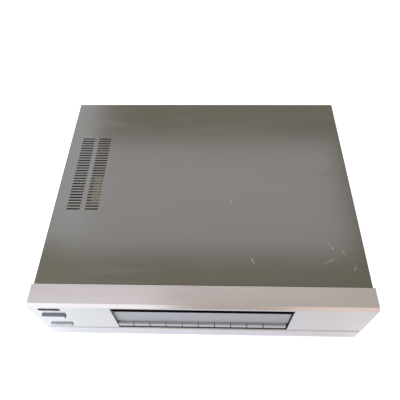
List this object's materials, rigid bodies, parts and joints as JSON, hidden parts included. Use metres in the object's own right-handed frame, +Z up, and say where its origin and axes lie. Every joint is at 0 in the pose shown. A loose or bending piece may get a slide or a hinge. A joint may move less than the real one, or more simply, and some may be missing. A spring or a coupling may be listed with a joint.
{
  "type": "stereo receiver",
  "caption": "Full-width stereo receiver with a flat brushed front, a recessed window over a row of push keys, a folded vented cover and rear sockets.",
  "frame": {"origin": "centre of the footprint on the surface under the feet", "axes": "+Z up, the front faces -Y, +X to the right seen from the front"},
  "size_m": [0.435, 0.3824, 0.1215],
  "materials": {
    "cover_paint": "satin grey-brown paint with a fine grain",
    "fascia_aluminium": "brushed along the width, clear anodised",
    "panel_aluminium": "finely brushed along the width, clear anodised",
    "key_metal": "satin metal finish",
    "black_plastic": "matte moulded black",
    "smoked_lens": "polished smoked acrylic",
    "zinc_steel": "zinc plated sheet",
    "rear_paint": "matte dark grey paint",
    "screw_steel": "black oxide",
    "foot_plastic": "matte moulded black",
    "core_steel": "varnished laminations",
    "coil_tape": "tan insulating tape",
    "sink_aluminium": "black anodised",
    "board_phenolic": "tan phenolic board",
    "component_plastic": "printed sleeve and moulded resin",
    "display_glass": "clear glass tube",
    "contact_brass": "nickel plated brass",
    "plated_steel": "nickel plated",
    "red_plastic": "matte moulded red",
    "socket_white": "moulded insulator"
  },
  "bodies": {
    "chassis": {"top_cover": "cover_paint", "chassis_pan": "zinc_steel", "feet": "foot_plastic", "foot_screws": "screw_steel", "casing_screws": "screw_steel", "front_fascia": "fascia_aluminium", "lower_trim": "fascia_aluminium", "end_caps": "fascia_aluminium", "front_frame": "zinc_steel", "window_liner": "black_plastic", "inner_panel": "panel_aluminium", "display_window": "smoked_lens", "display_tube": "display_glass", "display_board": "board_phenolic", "key_board": "board_phenolic", "key_switches": "component_plastic", "power_switch": "component_plastic", "speaker_switch": "component_plastic", "transformer_core": "core_steel", "transformer_coil": "coil_tape", "transformer_strap": "zinc_steel", "heat_sink": "sink_aluminium", "power_transistors": "component_plastic", "amplifier_board": "board_phenolic", "tuner_board": "board_phenolic", "inner_screws": "zinc_steel", "filter_capacitors": "component_plastic", "small_capacitors": "component_plastic", "tuner_can": "zinc_steel", "rear_panel": "rear_paint", "mains_inlet": "black_plastic", "inlet_pins": "contact_brass", "terminal_block": "black_plastic", "phono_plate": "black_plastic", "phono_barrels": "plated_steel", "phono_sleeves": "socket_white", "aerial_socket": "plated_steel", "ground_post": "plated_steel", "antenna_bracket": "black_plastic", "antenna_pin": "screw_steel"},
    "key_1": {"key_1": "key_metal"},
    "key_2": {"key_2": "key_metal"},
    "key_3": {"key_3": "key_metal"},
    "key_4": {"key_4": "key_metal"},
    "key_5": {"key_5": "key_metal"},
    "key_6": {"key_6": "key_metal"},
    "key_7": {"key_7": "key_metal"},
    "key_8": {"key_8": "key_metal"},
    "key_9": {"key_9": "key_metal"},
    "rocker": {"rocker_key": "key_metal"},
    "power": {"power_button": "black_plastic", "power_face": "fascia_aluminium", "power_rod": "black_plastic"},
    "speaker_button": {"slim_button": "key_metal"},
    "lever_1": {"lever_1": "red_plastic"},
    "lever_2": {"lever_2": "black_plastic"},
    "lever_3": {"lever_3": "red_plastic"},
    "lever_4": {"lever_4": "black_plastic"},
    "antenna": {"bar_antenna": "black_plastic"},
    "nut": {"ground_nut": "plated_steel"}
  },
  "joints": [
    {"name": "key_1_press", "type": "slide", "parent": "chassis", "child": "key_1", "axis": [0, 1, 0], "range_m": [0, 0.0012], "stiffness_N_per_m": 600, "springref_m": -0.0005},
    {"name": "key_2_press", "type": "slide", "parent": "chassis", "child": "key_2", "axis": [0, 1, 0], "range_m": [0, 0.0012], "stiffness_N_per_m": 600, "springref_m": -0.0005},
    {"name": "key_3_press", "type": "slide", "parent": "chassis", "child": "key_3", "axis": [0, 1, 0], "range_m": [0, 0.0012], "stiffness_N_per_m": 600, "springref_m": -0.0005},
    {"name": "key_4_press", "type": "slide", "parent": "chassis", "child": "key_4", "axis": [0, 1, 0], "range_m": [0, 0.0012], "stiffness_N_per_m": 600, "springref_m": -0.0005},
    {"name": "key_5_press", "type": "slide", "parent": "chassis", "child": "key_5", "axis": [0, 1, 0], "range_m": [0, 0.0012], "stiffness_N_per_m": 600, "springref_m": -0.0005},
    {"name": "key_6_press", "type": "slide", "parent": "chassis", "child": "key_6", "axis": [0, 1, 0], "range_m": [0, 0.0012], "stiffness_N_per_m": 600, "springref_m": -0.0005},
    {"name": "key_7_press", "type": "slide", "parent": "chassis", "child": "key_7", "axis": [0, 1, 0], "range_m": [0, 0.0012], "stiffness_N_per_m": 600, "springref_m": -0.0005},
    {"name": "key_8_press", "type": "slide", "parent": "chassis", "child": "key_8", "axis": [0, 1, 0], "range_m": [0, 0.0012], "stiffness_N_per_m": 600, "springref_m": -0.0005},
    {"name": "key_9_press", "type": "slide", "parent": "chassis", "child": "key_9", "axis": [0, 1, 0], "range_m": [0, 0.0012], "stiffness_N_per_m": 600, "springref_m": -0.0005},
    {"name": "rocker_tilt", "type": "hinge", "parent": "chassis", "child": "rocker", "pos_m": [0.09832, -0.18175, 0.05415], "axis": [0, 0, 1], "range_deg": [-3, 3], "stiffness_Nm_per_rad": 0.05},
    {"name": "power_press", "type": "slide", "parent": "chassis", "child": "power", "axis": [0, 1, 0], "range_m": [0, 0.0035], "stiffness_N_per_m": 500, "springref_m": -0.001},
    {"name": "speaker_press", "type": "slide", "parent": "chassis", "child": "speaker_button", "axis": [0, 1, 0], "range_m": [0, 0.002], "stiffness_N_per_m": 500, "springref_m": -0.001},
    {"name": "lever_1_tilt", "type": "hinge", "parent": "chassis", "child": "lever_1", "pos_m": [-0.1506, 0.17815, 0.066], "axis": [-1, 0, 0], "range_deg": [0, 15], "stiffness_Nm_per_rad": 0.08, "springref_deg": -8.59},
    {"name": "lever_2_tilt", "type": "hinge", "parent": "chassis", "child": "lever_2", "pos_m": [-0.1342, 0.17815, 0.066], "axis": [-1, 0, 0], "range_deg": [0, 15], "stiffness_Nm_per_rad": 0.08, "springref_deg": -8.59},
    {"name": "lever_3_tilt", "type": "hinge", "parent": "chassis", "child": "lever_3", "pos_m": [-0.1178, 0.17815, 0.066], "axis": [-1, 0, 0], "range_deg": [0, 15], "stiffness_Nm_per_rad": 0.08, "springref_deg": -8.59},
    {"name": "lever_4_tilt", "type": "hinge", "parent": "chassis", "child": "lever_4", "pos_m": [-0.1014, 0.17815, 0.066], "axis": [-1, 0, 0], "range_deg": [0, 15], "stiffness_Nm_per_rad": 0.08, "springref_deg": -8.59},
    {"name": "antenna_swivel", "type": "hinge", "parent": "chassis", "child": "antenna", "pos_m": [0.188, 0.18425, 0.091], "axis": [0, 0, -1], "range_deg": [0, 100]},
    {"name": "nut_turn", "type": "hinge", "parent": "chassis", "child": "nut", "pos_m": [0.034, 0.17445, 0.052], "axis": [0, 1, 0], "continuous": true}
  ]
}
